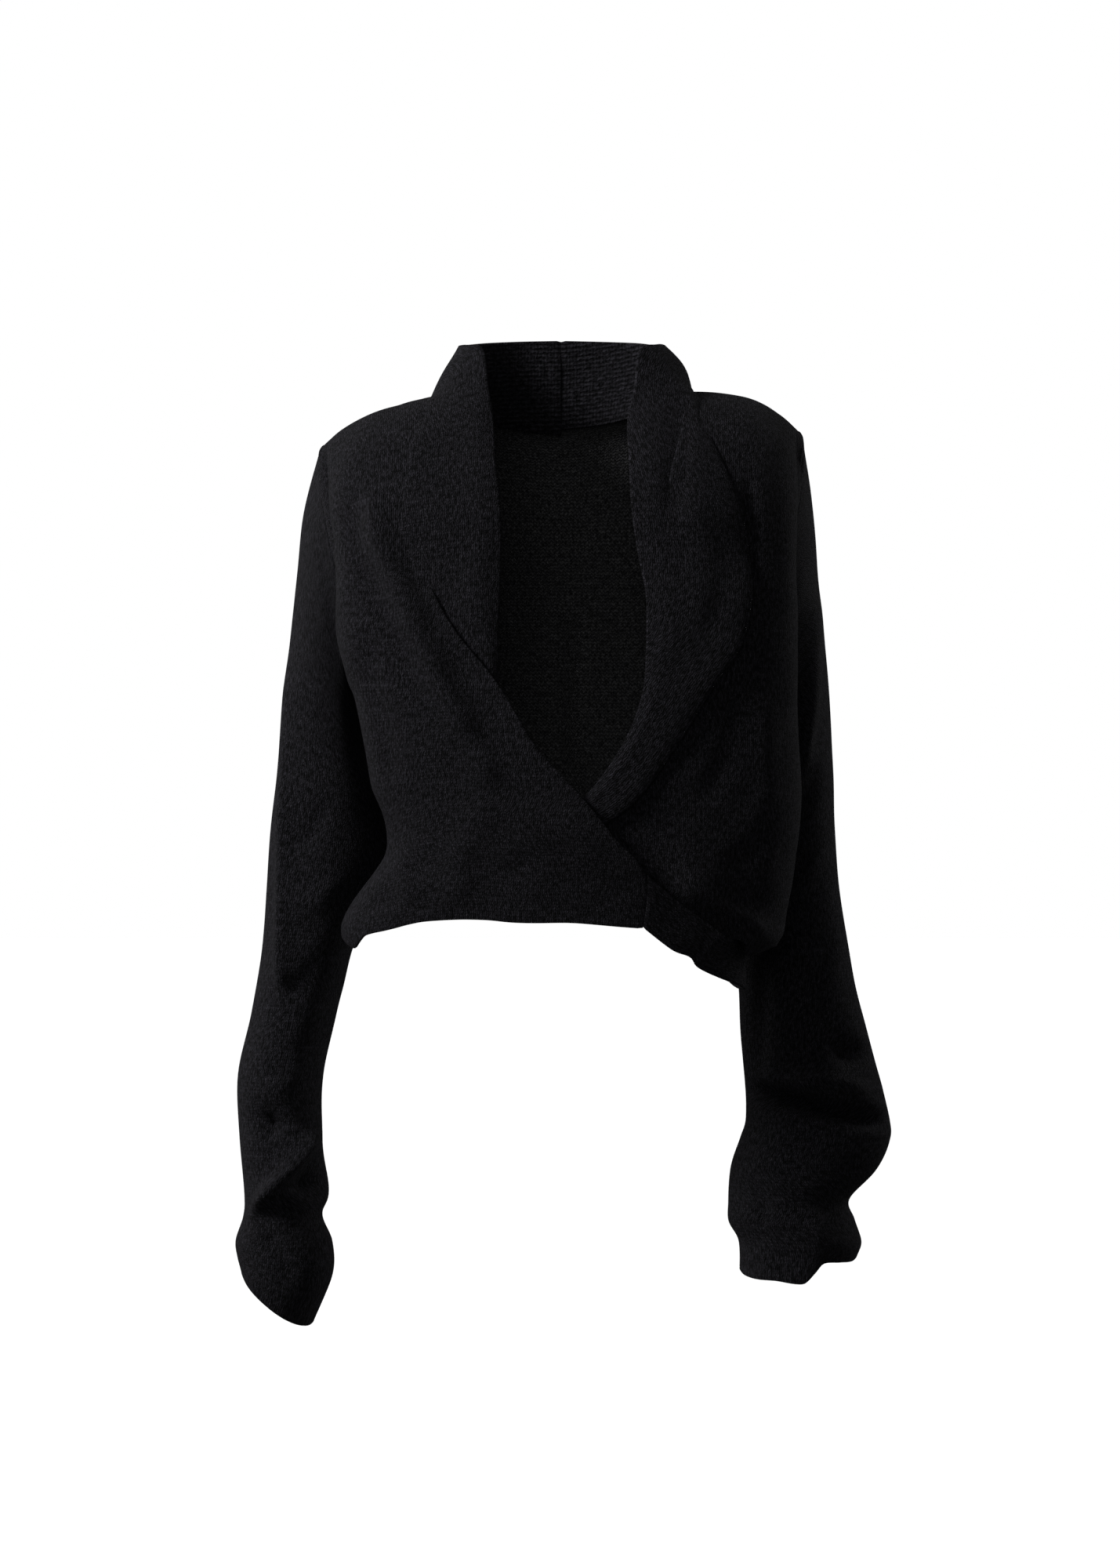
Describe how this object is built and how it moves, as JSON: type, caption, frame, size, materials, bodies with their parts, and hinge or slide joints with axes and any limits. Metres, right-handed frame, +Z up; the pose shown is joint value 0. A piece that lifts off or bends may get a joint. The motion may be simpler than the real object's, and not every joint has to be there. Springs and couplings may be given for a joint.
{
  "type": "cropped wrap sweater",
  "caption": "Cropped long-sleeved wrap sweater in brushed knit with a shawl collar and a tie, held in its hollow worn form.",
  "frame": {"origin": "base of the neck in the middle between the shoulders, where the sweater is held when it is worn", "axes": "+Z up, -Y towards the front, +X towards the wearer's left"},
  "size_m": [0.5751, 0.2662, 0.8607],
  "materials": {
    "back_knit": "black brushed knit, matt with a soft grey haze of fibres",
    "front_knit": "black brushed knit, matt with a soft grey haze of fibres",
    "collar_knit": "black brushed knit, matt, ribs run along the collar",
    "sleeve_knit": "black brushed knit, matt with a soft grey haze of fibres",
    "tie_knit": "black brushed knit, matt"
  },
  "bodies": {
    "root": {"back": "back_knit", "front_right": "front_knit", "front_left": "front_knit", "collar_right": "collar_knit", "collar_left": "collar_knit", "sleeve_right": "sleeve_knit", "sleeve_left": "sleeve_knit", "tie": "tie_knit"}
  },
  "joints": []
}
